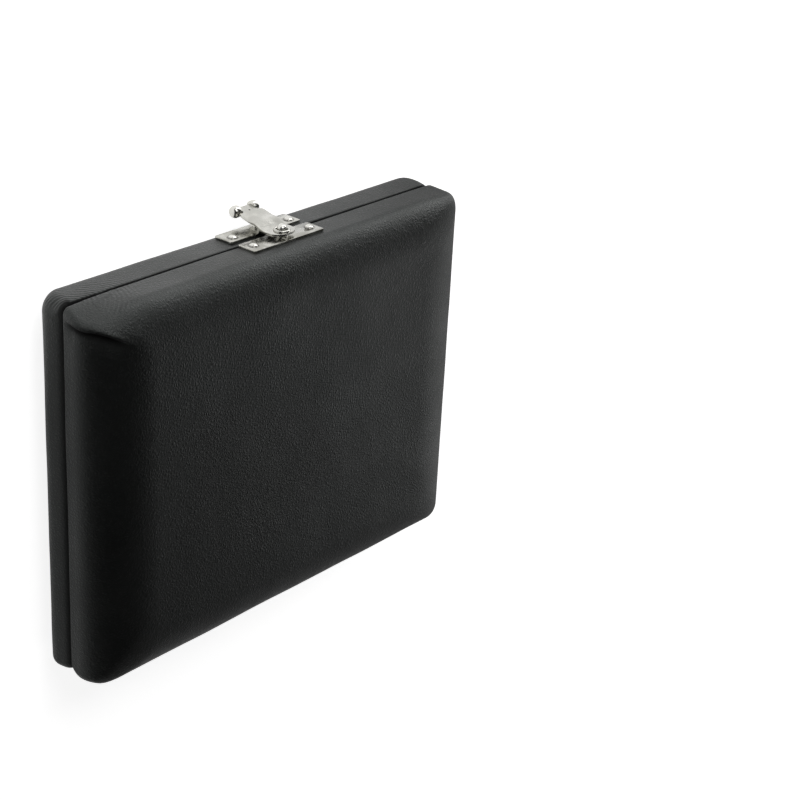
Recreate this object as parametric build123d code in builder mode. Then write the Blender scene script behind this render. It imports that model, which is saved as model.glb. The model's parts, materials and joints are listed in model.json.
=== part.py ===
from build123d import *
import os

os.makedirs("parts", exist_ok=True)

# Oboe reed case for ten reeds: two shallow wooden trays, covered in leather and lined with plush,
# hinged along the spine and closed by a press latch whose lever snaps over a ball stud.
# Millimetres. The closed case lies on its base. X runs along the spine, Y from the latch to the
# spine and Z up. The origin is the middle of the flat underside.

# Outer form, measured over the leather
case_length = 130.0
case_width = 99.0
shell_depth = 13.4  # each shell, from its flat face to the seam
seam_gap = 0.3  # between the two rims
end_run = 17.0  # round-over of the outer edges at the two ends, along the flat face
end_drop = 7.5  # the same round-over, down the wall
side_run = 12.0  # round-over at the latch wall and the spine, along the flat face
side_drop = 6.0
latch_corner_radius = 4.5  # plan corners beside the latch
spine_corner_radius = 2.0  # plan corners at the spine
lip_radius = 0.9  # rim edges at the seam
spine_radius = 3.0  # rim edges along the spine, rounder so that the lid can swing back

# Build of a tray
leather_thickness = 0.8
wall_thickness = 4.2  # wood, at the rim of the latch wall and the spine
end_wall_thickness = 7.0  # the same at the two ends, whose outer edges are rounder
floor_thickness = 1.8  # wood, under the flat face
lining_thickness = 0.8
lining_setback = 0.5  # the lining stops this far below the rim
cavity_radius = 2.0

# Pegs and their rail
peg_count = 10
peg_end_distance = 6.0  # from the lining to the axis of the first and the last peg
peg_radius = 2.3
peg_reach = 22.0  # in front of the rail
peg_socket = 6.0  # depth of its hole in the rail
peg_fit = 0.05  # radial clearance in the hole
reed_radius = 3.5  # cork end of a reed
reed_floor_gap = 1.1
rail_depth = 8.0
rail_top = 4.0  # wood above the peg's axis
rail_end_gap = 0.3

# Cushion in the lid
cushion_thickness = 4.5
cushion_gap = 0.4  # all round, to the lining
cushion_round = 1.6

# Hinges
hinge_spread = 76.0  # between the middles of the two hinges
hinge_length = 16.0
knuckle_length = 6.0  # the middle knuckle, on the lid's leaf
knuckle_gap = 0.15
barrel_radius = 1.2
hinge_pin_radius = 0.6
pin_fit = 0.05  # radial clearance of every pin in its bore
pin_inset = 1.3  # pin axis behind the spine's outer face
leaf_thickness = 0.8
leaf_lap = 3.4  # from the pin axis to the leaf's front edge
seat_gap = 0.15  # round a leaf in its seat
groove_gap = 0.25  # round the barrel
hinge_nail_spread = 10.0
hinge_nail_radius = 0.4
hinge_nail_head = 0.85
hinge_nail_length = 5.0

# Latch plates
latch_middle = -2.2  # the latch sits this far from the case's middle along X
plate_length = 24.4
plate_breadth = 6.1
plate_thickness = 0.7
plate_corner = 0.5
latch_plate_setback = 1.8  # from the seam's middle to the base's plate
catch_plate_setback = 0.3  # the same for the lid's plate
plate_nail_spread = 19.6
plate_nail_head = 1.25
plate_nail_dome = 0.7
plate_nail_radius = 0.5
plate_nail_length = 4.0
plate_nail_back = 2.1  # nails of the base's plate, behind its front edge
nail_fit = 0.05

# Lever, its pin and its stud
ear_thickness = 0.6
ear_spread = 5.4  # between the ears
ear_radius = 1.0
latch_pin_radius = 0.5
latch_pin_head = 0.95
latch_pin_dome = 0.5
pivot_setback = 1.1  # pivot behind the latch plate's front edge
lever_knuckle_radius = 1.25
lever_knuckle_length = 1.3
lever_web = 1.1  # width of the web that joins each knuckle to the sheet
lever_gap = 0.1  # between the lever and the plate and ears
lever_thickness = 0.6
lever_width = 8.0
neck_width = 4.2
tongue_height = 2.0  # middle of the tongue's sheet above the leather
tongue_length = 8.6  # from the pivot
tongue_bend_start = 2.0  # where the sheet turns down, in front of the pivot
tongue_bend_end = 3.9
arm_length = 7.1  # from the pivot to the press bar
arm_rise = 1.2
roll_radius = 1.0
bar_core_radius = 0.5
knob_radius = 1.35
knob_length = 2.2
stud_hole_radius = 1.55
collar_width = 0.6
collar_height = 0.5
ball_radius = 1.2
stud_neck_radius = 0.7
stud_flange_radius = 1.5
stud_flange_height = 0.3
stud_depth = 3.5
latch_mark_radius = 0.25  # small hole in the press arm

# Torsion spring
spring_wire_radius = 0.18
spring_coil_radius = 0.82
spring_turns = 2.5
spring_pitch = 0.8
spring_leg = 3.2
spring_leg_gap = 0.03  # between the lower leg and the plate
spring_leg_rise = 0.2  # of the upper leg, towards the press arm

# Worked out from the sizes above
seam_height = shell_depth
pin_y = case_width / 2 - pin_inset
cavity_length = case_length - 2 * (leather_thickness + end_wall_thickness)
cavity_width = case_width - 2 * (leather_thickness + wall_thickness)
cavity_floor = leather_thickness + floor_thickness
bay_length = cavity_length - 2 * lining_thickness
bay_width = cavity_width - 2 * lining_thickness
bay_floor = cavity_floor + lining_thickness
peg_pitch = (bay_length - 2 * peg_end_distance) / (peg_count - 1)
peg_height = bay_floor + reed_floor_gap + reed_radius
rail_front = bay_width / 2 - rail_depth
hinge_places = [-hinge_spread / 2, hinge_spread / 2]
face_y = -case_width / 2
above_case = 2 * shell_depth + 10.0


def rim(side):
    """Height of a tray's rim: side is -1 for the base and 1 for the lid."""
    return seam_height + side * seam_gap / 2


def into_tray(side, depth):
    """Height of a level this deep inside a tray, measured from its rim."""
    return rim(side) + side * depth


def edge_outline(half_span, run, drop, inset, top, low_lip, high_lip):
    """Cross-section of a tray: flat face down, elliptical round-overs and rim lips at both ends."""
    run, drop = run - inset, drop - inset
    flat = half_span - run
    Line((-flat, inset), (flat, inset))
    for end, lip, start in ((1, high_lip, 270), (-1, low_lip, 180)):
        EllipticalCenterArc((end * flat, inset + drop), run, drop, start, arc_size=90)
        Line((end * half_span, inset + drop), (end * half_span, top - lip))
        CenterArc((end * (half_span - lip), top - lip), lip, 0 if end > 0 else 90, 90)
    Line((-half_span + low_lip, top), (half_span - high_lip, top))


def tray_form(inset):
    """Solid outer form of the base, drawn in by inset on every side."""
    half_length, half_width = case_length / 2 - inset, case_width / 2 - inset
    top = rim(-1) - inset
    lip, spine_lip = (max(radius - inset, 0.2) for radius in (lip_radius, spine_radius))
    with BuildPart() as form:
        with BuildSketch(Plane.XY.offset(inset)) as plan:
            Rectangle(2 * half_length, 2 * half_width)
            fillet(plan.vertices().group_by(Axis.Y)[0], max(latch_corner_radius - inset, 0.5))
            fillet(plan.vertices().group_by(Axis.Y)[-1], max(spine_corner_radius - inset, 0.5))
        extrude(amount=top - inset)
        with BuildSketch(Plane.YZ):
            with BuildLine():
                edge_outline(half_width, side_run, side_drop, inset, top, lip, spine_lip)
            make_face()
        extrude(amount=half_length, both=True, mode=Mode.INTERSECT)
        with BuildSketch(Plane.XZ):
            with BuildLine():
                edge_outline(half_length, end_run, end_drop, inset, top, lip, lip)
            make_face()
        extrude(amount=half_width, both=True, mode=Mode.INTERSECT)
    return form.part


def cavity_form(inset, floor, top):
    """Block that fills a tray's hollow, drawn in by inset at the walls."""
    with BuildPart() as form:
        with BuildSketch(Plane.XY.offset(floor)):
            RectangleRounded(
                cavity_length - 2 * inset, cavity_width - 2 * inset, cavity_radius - inset / 2
            )
        extrude(amount=top - floor)
    return form.part


def for_side(form, side):
    """The base's form, or its mirror image for the lid."""
    return form if side < 0 else form.mirror(Plane.XY.offset(seam_height))


def hinge_seats(side):
    """Cutter for a rim: seats of the leaves, grooves of the barrels and nail holes."""
    leaf_middle = pin_y - leaf_lap / 2
    groove_length = hinge_length + 2 * (leaf_thickness + seat_gap)
    with BuildPart() as cutter:
        with BuildSketch(Plane.XY.offset(into_tray(side, leaf_thickness))):
            with Locations(*[(x, leaf_middle) for x in hinge_places]):
                Rectangle(hinge_length + 2 * seat_gap, leaf_lap + 2 * seat_gap)
        extrude(amount=-side * (leaf_thickness + seam_gap))
        for x in hinge_places:
            with BuildSketch(Plane.YZ.offset(x - groove_length / 2)):
                with Locations((pin_y, seam_height)):
                    Circle(barrel_radius + groove_gap)
            extrude(amount=groove_length)
        with BuildSketch(Plane.XY.offset(rim(side))):
            with Locations(*hinge_nail_places()):
                Circle(hinge_nail_radius + nail_fit)
        extrude(amount=side * (hinge_nail_length + nail_fit))
    return cutter.part


def hinge_nail_places():
    """Plan positions of the four nails of one tray's hinge leaves."""
    y = pin_y - (barrel_radius + groove_gap + leaf_lap) / 2
    return [(x + step * hinge_nail_spread / 2, y) for x in hinge_places for step in (-1, 1)]


def plate_low(side):
    """Lower edge of a latch plate."""
    if side < 0:
        return seam_height - latch_plate_setback - plate_breadth
    return seam_height + catch_plate_setback


def plate_nail_height(side):
    """Height of a latch plate's nails, which sit near the base plate's front edge."""
    if side < 0:
        return plate_low(side) + plate_breadth - plate_nail_back
    return plate_low(side) + plate_breadth / 2


def plate_nail_places(side):
    """Positions of a latch plate's two nails on the latch face, as X and Z."""
    return [(latch_middle + step * plate_nail_spread / 2, plate_nail_height(side)) for step in (-1, 1)]


def latch_face(height):
    """Plane that faces out of the latch wall, height above the leather; its X and Y are X and Z."""
    return Plane.XZ.offset(-face_y + height)


def plate_nail_holes(side):
    """Cutter for a latch wall: nail holes of its plate, and the hole of the stud in the lid."""
    with BuildPart() as cutter:
        with BuildSketch(latch_face(0)):
            with Locations(*plate_nail_places(side)):
                Circle(plate_nail_radius + nail_fit)
        extrude(amount=-plate_nail_length - nail_fit)
        if side > 0:
            with BuildSketch(latch_face(0)):
                with Locations((latch_middle, stud_height)):
                    Circle(stud_neck_radius + nail_fit)
            extrude(amount=-stud_depth - nail_fit)
    return cutter.part


def finish(part, name):
    """Labels a finished piece and writes its file."""
    part.label = name
    export_step(part, f"parts/{name}.step")


# Latch heights above the leather and places along Z
pivot_z = seam_height - latch_plate_setback - pivot_setback
pivot_height = plate_thickness + lever_gap + lever_knuckle_radius
stud_height = plate_low(1) + plate_breadth / 2
arm_height = pivot_height + ear_radius + lever_gap + lever_thickness / 2
bar_z = pivot_z - arm_length
bar_height = arm_height + arm_rise - roll_radius + lever_thickness / 2
ball_height = tongue_height + lever_thickness / 2 + collar_height

# Trays: wooden core, leather outside and over the rim, plush inside
leather_form = tray_form(0)
wood_form = tray_form(leather_thickness)
hollow = cavity_form(0, cavity_floor, above_case)
bay = cavity_form(lining_thickness, bay_floor, above_case)

for side, tray in ((-1, "base"), (1, "lid")):
    with BuildPart() as wooden_tray:
        add(for_side(wood_form, side))
        add(for_side(hollow, side), mode=Mode.SUBTRACT)
        add(hinge_seats(side), mode=Mode.SUBTRACT)
        add(plate_nail_holes(side), mode=Mode.SUBTRACT)
    finish(wooden_tray.part, f"{tray}_tray")

    with BuildPart() as leather:
        add(for_side(leather_form, side))
        add(for_side(wood_form, side), mode=Mode.SUBTRACT)
        add(for_side(hollow, side), mode=Mode.SUBTRACT)
        add(hinge_seats(side), mode=Mode.SUBTRACT)
        add(plate_nail_holes(side), mode=Mode.SUBTRACT)
    finish(leather.part, f"{tray}_leather")

    lining_form = cavity_form(0, cavity_floor, rim(-1) - lining_setback)
    with BuildPart() as lining:
        add(for_side(lining_form, side))
        add(for_side(bay, side), mode=Mode.SUBTRACT)
    finish(lining.part, f"{tray}_lining")

# Rail across the spine side of the base, drilled for the pegs
peg_places = [(index - (peg_count - 1) / 2) * peg_pitch for index in range(peg_count)]
rail_height = peg_height + rail_top - bay_floor

with BuildPart() as peg_rail:
    with BuildSketch(Plane.XY.offset(bay_floor)):
        with Locations((0, rail_front + rail_depth / 2)):
            Rectangle(bay_length - 2 * rail_end_gap, rail_depth)
    extrude(amount=rail_height)
    # The corners clear the round corners of the lining
    fillet(peg_rail.edges().filter_by(Axis.Z).group_by(Axis.Y)[-1], cavity_radius)
    fillet(peg_rail.edges().filter_by(Axis.X).group_by(Axis.Z)[-1].sort_by(Axis.Y)[0], 1.5)
    with BuildSketch(Plane.XZ.offset(-rail_front)):
        with Locations(*[(x, peg_height) for x in peg_places]):
            Circle(peg_radius + peg_fit)
    extrude(amount=-peg_socket - peg_fit, mode=Mode.SUBTRACT)
finish(peg_rail.part, "peg_rail")

for index, x in enumerate(peg_places, start=1):
    with BuildPart() as reed_peg:
        with BuildSketch(Plane.XZ.offset(-rail_front - peg_socket)):
            with Locations((x, peg_height)):
                Circle(peg_radius)
        extrude(amount=peg_socket + peg_reach)
        fillet(reed_peg.edges().group_by(Axis.Y)[0], 0.8 * peg_radius)
        chamfer(reed_peg.edges().group_by(Axis.Y)[-1], 0.1 * peg_radius)
    finish(reed_peg.part, f"reed_peg_{index:02d}")

# Cushion in the lid
with BuildPart() as lid_cushion:
    with BuildSketch(Plane.XY.offset(2 * seam_height - bay_floor)):
        RectangleRounded(
            bay_length - 2 * cushion_gap, bay_width - 2 * cushion_gap, cavity_radius
        )
    extrude(amount=-cushion_thickness)
    fillet(lid_cushion.edges().group_by(Axis.Z)[0], cushion_round)
finish(lid_cushion.part, "lid_cushion")


def hinge_leaf(x, side):
    """Leaf of one hinge: the base has the two outer knuckles and the lid the middle one."""
    half, middle = hinge_length / 2, knuckle_length / 2
    outer = [(-half, -middle - knuckle_gap), (middle + knuckle_gap, half)]
    inner = [(-middle, middle)]
    own, other = (outer, inner) if side < 0 else (inner, outer)
    with BuildPart() as leaf:
        with BuildSketch(Plane.XY.offset(rim(side))):
            with Locations((x, pin_y - leaf_lap / 2)):
                Rectangle(hinge_length, leaf_lap)
        extrude(amount=side * leaf_thickness)
        for start, end in other:
            with BuildSketch(Plane.YZ.offset(x + start - knuckle_gap)):
                with Locations((pin_y, seam_height)):
                    Circle(barrel_radius + knuckle_gap)
            extrude(amount=end - start + 2 * knuckle_gap, mode=Mode.SUBTRACT)
        for start, end in own:
            with BuildSketch(Plane.YZ.offset(x + start)):
                with Locations((pin_y, seam_height)):
                    Circle(barrel_radius)
            extrude(amount=end - start)
        with BuildSketch(Plane.YZ.offset(x - half)):
            with Locations((pin_y, seam_height)):
                Circle(hinge_pin_radius + pin_fit)
        extrude(amount=hinge_length, mode=Mode.SUBTRACT)
        sink = hinge_nail_head - hinge_nail_radius
        nails = [place for place in hinge_nail_places() if abs(place[0] - x) < half]
        with BuildSketch(Plane.XY.offset(rim(side))):
            with Locations(*nails):
                Circle(hinge_nail_radius + nail_fit)
        extrude(amount=side * leaf_thickness, mode=Mode.SUBTRACT)
        with BuildSketch(Plane.XY.offset(rim(side))):
            with Locations(*nails):
                Circle(hinge_nail_head + nail_fit)
        extrude(amount=side * sink, taper=45, mode=Mode.SUBTRACT)
    return leaf.part


def nail_outline(head, radius, length, dome):
    """Half-section of a domed nail: its axis is upright and its head stands on the ground line."""
    crown = (dome**2 + head**2) / (2 * dome)
    Line((0, dome), (0, -length))
    RadiusArc((0, dome), (head, 0), crown)
    Polyline((head, 0), (radius, 0), (radius, -length + radius), (0, -length))


for name, x in zip(("left", "right"), hinge_places):
    finish(hinge_leaf(x, -1), f"{name}_hinge_base_leaf")
    finish(hinge_leaf(x, 1), f"{name}_hinge_lid_leaf")
    head_thickness = leaf_thickness / 2
    with BuildPart() as hinge_pin:
        with BuildSketch(Plane.YZ.offset(x - hinge_length / 2 - seat_gap - head_thickness)):
            with Locations((pin_y, seam_height)):
                Circle(hinge_pin_radius)
        extrude(amount=hinge_length + 2 * (seat_gap + head_thickness))
        for start in (-hinge_length / 2 - seat_gap - head_thickness, hinge_length / 2 + seat_gap):
            with BuildSketch(Plane.YZ.offset(x + start)):
                with Locations((pin_y, seam_height)):
                    Circle((hinge_pin_radius + barrel_radius) / 2)
            extrude(amount=head_thickness)
    finish(hinge_pin.part, f"{name}_hinge_pin")

for side, tray in ((-1, "base"), (1, "lid")):
    with BuildPart() as hinge_nails:
        with BuildSketch(Plane.XY.offset(rim(side))):
            with Locations(*hinge_nail_places()):
                Circle(hinge_nail_radius)
        extrude(amount=side * hinge_nail_length)
        with BuildSketch(Plane.XY.offset(rim(side))):
            with Locations(*hinge_nail_places()):
                Circle(hinge_nail_head)
        extrude(amount=side * (hinge_nail_head - hinge_nail_radius), taper=45)
    finish(hinge_nails.part, f"{tray}_hinge_nails")

# Latch plates and their domed nails
for side, name in ((-1, "latch_plate"), (1, "catch_plate")):
    with BuildPart() as plate:
        with BuildSketch(latch_face(0)):
            with Locations((latch_middle, plate_low(side) + plate_breadth / 2)):
                RectangleRounded(plate_length, plate_breadth, plate_corner)
        extrude(amount=plate_thickness)
        chamfer(plate.faces().sort_by(Axis.Y)[0].edges(), plate_thickness / 4)
        if side < 0:
            for start in (-ear_spread / 2 - ear_thickness, ear_spread / 2):
                with BuildSketch(Plane.YZ.offset(latch_middle + start)):
                    with Locations((face_y - pivot_height / 2, pivot_z)):
                        Rectangle(pivot_height, 2 * ear_radius)
                    with Locations((face_y - pivot_height, pivot_z)):
                        Circle(ear_radius)
                extrude(amount=ear_thickness)
            with BuildSketch(Plane.YZ.offset(latch_middle - ear_spread)):
                with Locations((face_y - pivot_height, pivot_z)):
                    Circle(latch_pin_radius + pin_fit)
            extrude(amount=2 * ear_spread, mode=Mode.SUBTRACT)
        else:
            with BuildSketch(latch_face(0)):
                with Locations((latch_middle, stud_height)):
                    Circle(stud_neck_radius + nail_fit)
            extrude(amount=plate_thickness, mode=Mode.SUBTRACT)
        with BuildSketch(latch_face(0)):
            with Locations(*plate_nail_places(side)):
                Circle(plate_nail_radius + nail_fit)
        extrude(amount=plate_thickness, mode=Mode.SUBTRACT)
    finish(plate.part, name)

    with BuildPart() as plate_nails:
        for x, z in plate_nail_places(side):
            nail_plane = Plane((x, face_y - plate_thickness, z), x_dir=(1, 0, 0), z_dir=(0, 0, -1))
            with BuildSketch(nail_plane):
                with BuildLine():
                    nail_outline(
                        plate_nail_head,
                        plate_nail_radius,
                        plate_thickness + plate_nail_length,
                        plate_nail_dome,
                    )
                make_face()
            revolve(axis=Axis((x, face_y, z), (0, 1, 0)))
    finish(plate_nails.part, f"{name}_nails")

# Ball stud on the catch plate
with BuildPart() as catch_stud:
    with BuildSketch(latch_face(-stud_depth)):
        with Locations((latch_middle, stud_height)):
            Circle(stud_neck_radius)
    extrude(amount=stud_depth + ball_height)
    with BuildSketch(latch_face(plate_thickness)):
        with Locations((latch_middle, stud_height)):
            Circle(stud_flange_radius)
    extrude(amount=stud_flange_height)
    with Locations((latch_middle, face_y - ball_height, stud_height)):
        Sphere(ball_radius)
finish(catch_stud.part, "catch_stud")

# Lever: a bent sheet with two knuckles on the pin, a holed tongue and a press arm that ends in a roll
with BuildPart() as latch_lever:
    with BuildSketch(Plane.YZ.offset(latch_middle - lever_width / 2)):
        with BuildLine() as sheet_line:
            FilletPolyline(
                (face_y - tongue_height, pivot_z + tongue_length),
                (face_y - tongue_height, pivot_z + tongue_bend_end),
                (face_y - arm_height, pivot_z + tongue_bend_start),
                (face_y - arm_height, pivot_z - lever_knuckle_radius),
                (face_y - arm_height - arm_rise, bar_z),
                radius=1.0,
            )
        trace(line_width=lever_thickness)
    extrude(amount=lever_width)
    # Outline of the sheet seen square to the latch face
    with BuildSketch(latch_face(0)) as lever_outline:
        with Locations((latch_middle, pivot_z + tongue_length / 2)):
            Rectangle(lever_width, tongue_length)
        fillet(lever_outline.vertices().group_by(Axis.Y)[-1], 0.42 * lever_width)
        arm_end = arm_length - knob_radius - lever_gap
        with Locations((latch_middle, pivot_z - arm_end / 2)):
            Rectangle(lever_width, arm_end)
        with Locations((latch_middle, pivot_z - arm_length / 2)):
            Rectangle(neck_width, arm_length)
    extrude(amount=arm_height + 2 * arm_rise, mode=Mode.INTERSECT)
    for start in (-ear_spread / 2 + lever_gap, ear_spread / 2 - lever_gap - lever_knuckle_length):
        with BuildSketch(Plane.YZ.offset(latch_middle + start)):
            with Locations((face_y - pivot_height, pivot_z)):
                Circle(lever_knuckle_radius)
            with Locations((face_y - (pivot_height + arm_height) / 2, pivot_z)):
                Rectangle(arm_height - pivot_height, lever_web)
        extrude(amount=lever_knuckle_length)
    with BuildSketch(Plane.YZ.offset(latch_middle - neck_width / 2)):
        with Locations((face_y - bar_height, bar_z)):
            Circle(roll_radius)
    extrude(amount=neck_width)
    with BuildSketch(latch_face(tongue_height)):
        with Locations((latch_middle, stud_height)):
            Circle(stud_hole_radius + collar_width)
    extrude(amount=lever_thickness / 2 + collar_height)
    with BuildSketch(latch_face(0)):
        with Locations((latch_middle, stud_height)):
            Circle(stud_hole_radius)
    extrude(amount=ball_height + ball_radius, mode=Mode.SUBTRACT)
    for y, z, radius in (
        (face_y - pivot_height, pivot_z, latch_pin_radius + pin_fit),
        (face_y - bar_height, bar_z, bar_core_radius + pin_fit),
    ):
        with BuildSketch(Plane.YZ.offset(latch_middle - lever_width / 2)):
            with Locations((y, z)):
                Circle(radius)
        extrude(amount=lever_width, mode=Mode.SUBTRACT)
    with BuildSketch(latch_face(arm_height)):
        with Locations((latch_middle, bar_z + 2 * roll_radius)):
            Circle(latch_mark_radius)
    extrude(amount=2 * arm_rise, mode=Mode.SUBTRACT)
finish(latch_lever.part, "latch_lever")


def knobbed_rod(core, head, inner_half, head_length):
    """Half-section of a rod along X with a rounded knob at each end."""
    outer = inner_half + head_length
    round_over = min(head_length, head) / 2
    for end in (-1, 1):
        Polyline((0, core), (end * inner_half, core), (end * inner_half, head - round_over))
        knob = Polyline(
            (end * inner_half, head - round_over),
            (end * (inner_half + round_over / 2), head),
            (end * (outer - round_over), head),
        )
        RadiusArc((end * outer, head - round_over), knob @ 1, end * round_over)
        Line((end * outer, head - round_over), (end * outer, 0))
    Line((-outer, 0), (outer, 0))


with BuildPart() as press_bar:
    with BuildSketch(Plane((latch_middle, face_y - bar_height, bar_z), z_dir=(0, 0, 1))):
        with BuildLine():
            knobbed_rod(bar_core_radius, knob_radius, neck_width / 2 + lever_gap, knob_length)
        make_face()
    revolve(axis=Axis((latch_middle, face_y - bar_height, bar_z), (1, 0, 0)))
finish(press_bar.part, "press_bar")

with BuildPart() as latch_pin:
    with BuildSketch(Plane((latch_middle, face_y - pivot_height, pivot_z), z_dir=(0, 0, 1))):
        with BuildLine():
            pin_half = ear_spread / 2 + ear_thickness + pin_fit
            knobbed_rod(latch_pin_radius, latch_pin_head, pin_half, latch_pin_dome)
        make_face()
    revolve(axis=Axis((latch_middle, face_y - pivot_height, pivot_z), (1, 0, 0)))
finish(latch_pin.part, "latch_pin")

# Torsion spring round the pin: one leg lies on the latch plate, the other runs under the press arm
spring_start = latch_middle - spring_turns * spring_pitch / 2
spring_centre = (spring_start, face_y - pivot_height, pivot_z)
lower_leg_drop = (
    pivot_height - spring_coil_radius - plate_thickness - spring_wire_radius - spring_leg_gap
)
with BuildPart() as latch_spring:
    # A helix starts above its axis, so it is turned to start at the side of the plate
    coil = Helix(
        spring_pitch,
        spring_turns * spring_pitch,
        spring_coil_radius,
        center=spring_centre,
        direction=(1, 0, 0),
        mode=Mode.PRIVATE,
    )
    with BuildLine() as coil_line:
        add(coil.rotate(Axis(spring_centre, (1, 0, 0)), -90))
    coil_start, coil_end = coil_line.line @ 0, coil_line.line @ 1
    with BuildSketch(Plane(coil_start, z_dir=coil_line.line % 0)):
        Circle(spring_wire_radius)
    sweep(path=coil_line.line, is_frenet=True)
    for leg_start, sideways in ((coil_start, lower_leg_drop), (coil_end, -spring_leg_rise)):
        with BuildSketch(Plane(leg_start, z_dir=(0, sideways, -spring_leg))):
            Circle(spring_wire_radius)
        extrude(amount=spring_leg)
        with Locations(leg_start):
            Sphere(spring_wire_radius)
finish(latch_spring.part, "latch_spring")
print("least gap between the spring's turns", spring_pitch - 2 * spring_wire_radius)
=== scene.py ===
import json
import math
import bpy
import bmesh
from mathutils import Matrix, Vector, noise
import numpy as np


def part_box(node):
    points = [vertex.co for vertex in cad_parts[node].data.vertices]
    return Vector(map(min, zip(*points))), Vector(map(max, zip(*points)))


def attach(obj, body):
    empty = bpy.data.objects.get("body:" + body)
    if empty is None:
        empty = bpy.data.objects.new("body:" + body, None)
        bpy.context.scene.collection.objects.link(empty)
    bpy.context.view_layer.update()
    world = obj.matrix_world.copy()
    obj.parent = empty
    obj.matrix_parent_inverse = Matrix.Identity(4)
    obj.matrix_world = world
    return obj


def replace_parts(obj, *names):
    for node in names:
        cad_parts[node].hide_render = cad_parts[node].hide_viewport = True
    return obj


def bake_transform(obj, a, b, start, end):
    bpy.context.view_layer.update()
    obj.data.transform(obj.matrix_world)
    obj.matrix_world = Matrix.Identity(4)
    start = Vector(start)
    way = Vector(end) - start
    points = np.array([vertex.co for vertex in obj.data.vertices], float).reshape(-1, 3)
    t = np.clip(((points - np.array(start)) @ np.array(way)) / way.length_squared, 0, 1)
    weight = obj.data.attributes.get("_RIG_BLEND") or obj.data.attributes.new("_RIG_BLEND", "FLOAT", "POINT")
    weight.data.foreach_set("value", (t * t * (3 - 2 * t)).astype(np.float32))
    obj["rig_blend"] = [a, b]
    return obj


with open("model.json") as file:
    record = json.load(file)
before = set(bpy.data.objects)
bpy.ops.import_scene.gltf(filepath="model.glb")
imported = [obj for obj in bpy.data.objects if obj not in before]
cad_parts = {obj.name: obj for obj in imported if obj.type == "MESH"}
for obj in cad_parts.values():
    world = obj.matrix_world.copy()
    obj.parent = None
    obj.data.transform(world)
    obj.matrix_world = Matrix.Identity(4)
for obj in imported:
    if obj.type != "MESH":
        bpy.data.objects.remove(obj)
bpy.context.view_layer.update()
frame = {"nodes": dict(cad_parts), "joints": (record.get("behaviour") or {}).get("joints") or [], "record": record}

# Shapes are worked out in millimetres in the case's own frame and scaled to metres when a piece is made.
# X runs along the spine, Y from the latch to the spine, Z up through the base and the lid.
mm = 0.001


def nodeBox(node):
    low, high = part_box(node)
    return low / mm, high / mm


joints = {joint["name"]: joint for joint in frame["joints"]}
hingePlace, pivotPlace = (Vector(joints[name]["pos_m"]) / mm for name in ("lid_hinge", "lever_pivot"))
baseLow, baseHigh = nodeBox("base_leather")
seam = hingePlace.z
faceY = baseLow.y
latchX = pivotPlace.x


# Small tools for meshes

def lerp(low, high, share):
    return low + (high - low) * share


def smoothStep(low, high, value):
    share = min(max((value - low) / (high - low), 0.0), 1.0)
    return share * share * (3 - 2 * share)


def bell(value, middle, width):
    return math.exp(-(((value - middle) / width) ** 2))


def arc(centre, radius, start, end, steps):
    # points from one angle to another, in degrees
    turns = [math.radians(lerp(start, end, step / steps)) for step in range(steps + 1)]
    return [(centre[0] + radius * math.cos(turn), centre[1] + radius * math.sin(turn)) for turn in turns]


def rotated(degrees, axis):
    return Matrix.Rotation(math.radians(degrees), 4, axis)


def place(bm, matrix):
    bmesh.ops.transform(bm, matrix=matrix, verts=bm.verts[:])
    return bm


def rightNormals(bm):
    bmesh.ops.recalc_face_normals(bm, faces=bm.faces[:])
    return bm


def closeHoles(bm):
    rim = [edge for edge in bm.edges if edge.is_boundary]
    if rim:
        bmesh.ops.holes_fill(bm, edges=rim, sides=0)


def partsOf(made, kind):
    return [part for part in made if isinstance(part, kind)]


def extrudeRing(bm, edges):
    # one more band of faces: its new vertices and its free edges
    made = bmesh.ops.extrude_edge_only(bm, edges=edges)["geom"]
    fresh = partsOf(made, bmesh.types.BMVert)
    known = set(fresh)
    return fresh, [edge for edge in partsOf(made, bmesh.types.BMEdge) if known.issuperset(edge.verts)]


def roundOff(bm, geom, width, segments, kind="EDGES"):
    bmesh.ops.bevel(bm, geom=geom, offset=width, offset_type="OFFSET", segments=segments, profile=0.5,
                    affect=kind, material=-1, clamp_overlap=kind == "EDGES")


def roundSharp(bm, width, segments, angle):
    # rounds every edge that turns by more than the angle
    sharp = [edge for edge in bm.edges if edge.is_manifold and edge.calc_face_angle() > math.radians(angle)]
    roundOff(bm, sharp, width, segments)


def block(centre, size):
    bm = bmesh.new()
    bmesh.ops.create_cube(bm, size=1.0)
    return place(bm, Matrix.Translation(centre) @ Matrix.Diagonal((*size, 1.0)))


def turned(profile, steps=48):
    # solid of revolution round Z from (radius, height) points
    bm = bmesh.new()
    verts = [bm.verts.new((radius, 0, height)) for radius, height in profile]
    for first, second in zip(verts, verts[1:]):
        bm.edges.new((first, second))
    bmesh.ops.spin(bm, geom=bm.verts[:] + bm.edges[:], cent=(0, 0, 0), axis=(0, 0, 1),
                   angle=math.tau, steps=steps, use_merge=True)
    bmesh.ops.remove_doubles(bm, verts=bm.verts[:], dist=0.0005)
    closeHoles(bm)
    return rightNormals(bm)


def toMesh(bm, name):
    mesh = bpy.data.meshes.new(name)
    bm.to_mesh(mesh)
    bm.free()
    return mesh


def addToScene(name, data):
    holder = bpy.data.objects.new(name, data)
    bpy.context.scene.collection.objects.link(holder)
    return holder


def shade(mesh, flatAngle):
    mesh.polygons.foreach_set("use_smooth", [True] * len(mesh.polygons))
    mesh.set_sharp_from_angle(angle=math.radians(flatAngle))


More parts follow.
